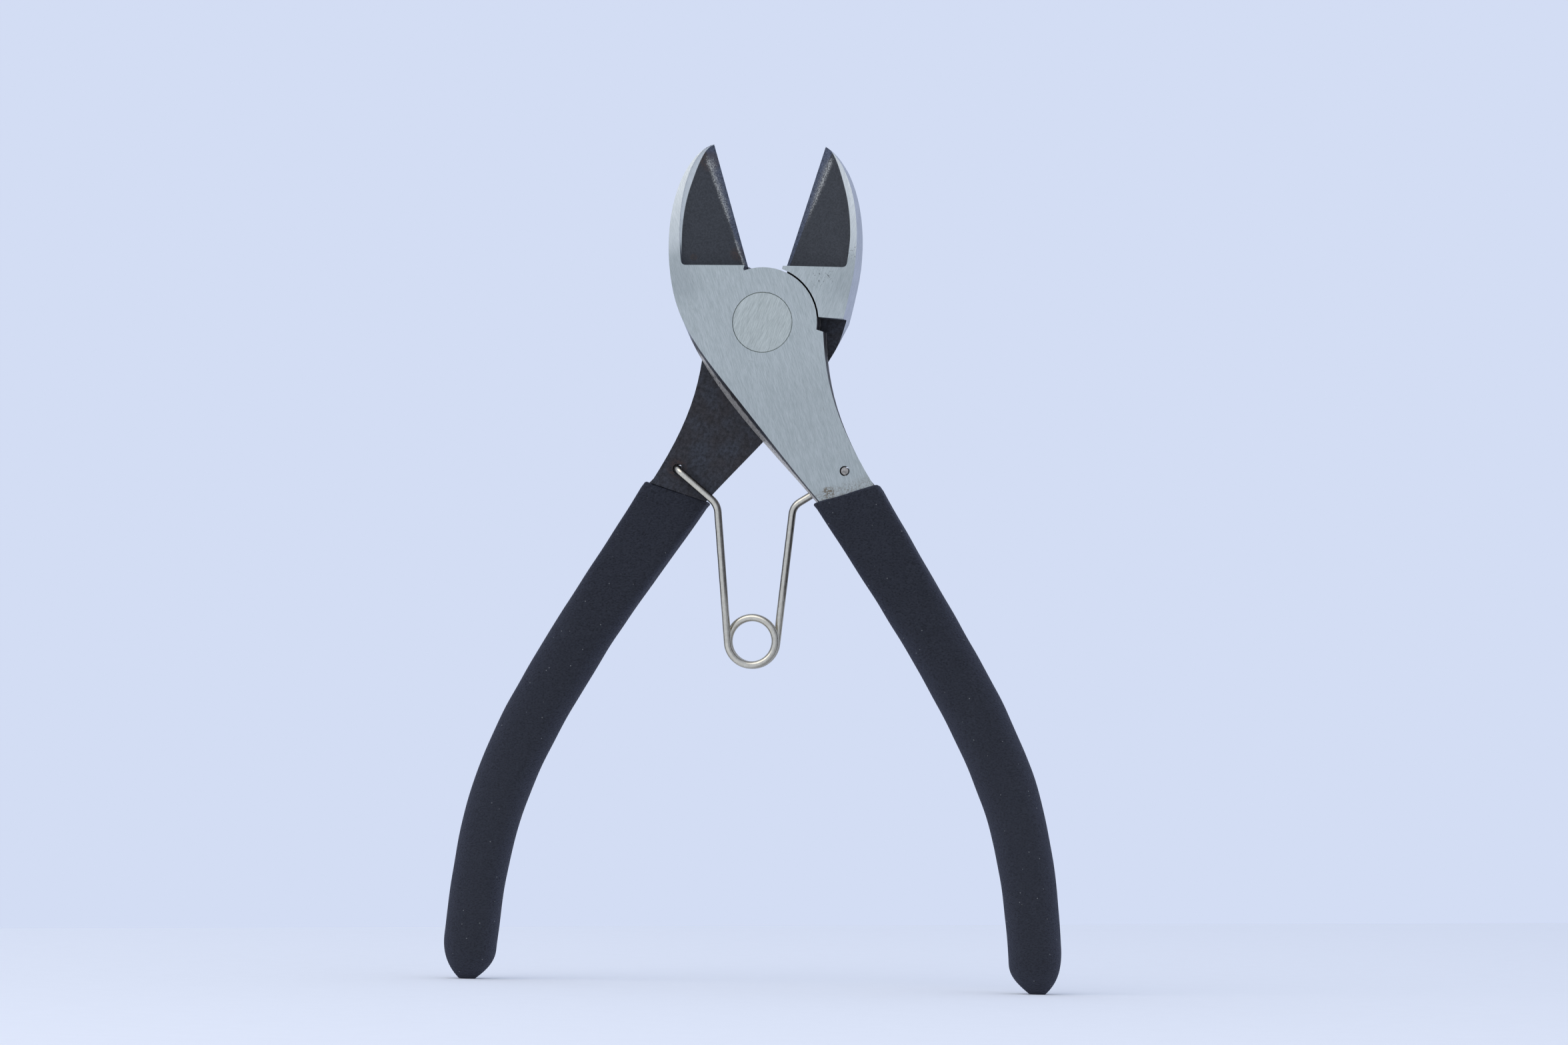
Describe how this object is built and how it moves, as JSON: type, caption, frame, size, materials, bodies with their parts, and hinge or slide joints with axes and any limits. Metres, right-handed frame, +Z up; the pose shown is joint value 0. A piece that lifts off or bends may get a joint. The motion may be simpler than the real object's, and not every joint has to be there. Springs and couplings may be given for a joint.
{
  "type": "diagonal cutting pliers",
  "caption": "Spring-opened diagonal cutting pliers with hollow-ground jaws on a riveted lap joint, bowed handles in dipped grips and a coiled wire return spring; cuts wire and leads.",
  "frame": {"origin": "under the middle of the tool, level with the lowest points of the two grips, on the plane where the two laps meet", "axes": "+Z up along the tool's middle line towards the jaw noses, +Y from the front lever's ground face through the pivot to the rear lever's ground face, +X to the right as seen from the front"},
  "size_m": [0.1244, 0.0124, 0.1683],
  "materials": {
    "forged_steel": "ground faces over dark oxide",
    "rivet_steel": "ground",
    "spring_wire": "bright nickel",
    "grip": "dull, fine grained"
  },
  "bodies": {
    "front_lever": {"front_lever": "forged_steel", "pivot_rivet": "rivet_steel", "front_grip": "grip", "return_spring": "spring_wire"},
    "rear_lever": {"rear_lever": "forged_steel", "rear_grip": "grip"}
  },
  "joints": [
    {"name": "pivot", "type": "hinge", "parent": "front_lever", "child": "rear_lever", "pos_m": [0, 0, 0.13244], "axis": [0, -1, 0], "range_deg": [-13, 34.9], "stiffness_Nm_per_rad": 0.6, "deforming": ["return_spring"]}
  ]
}
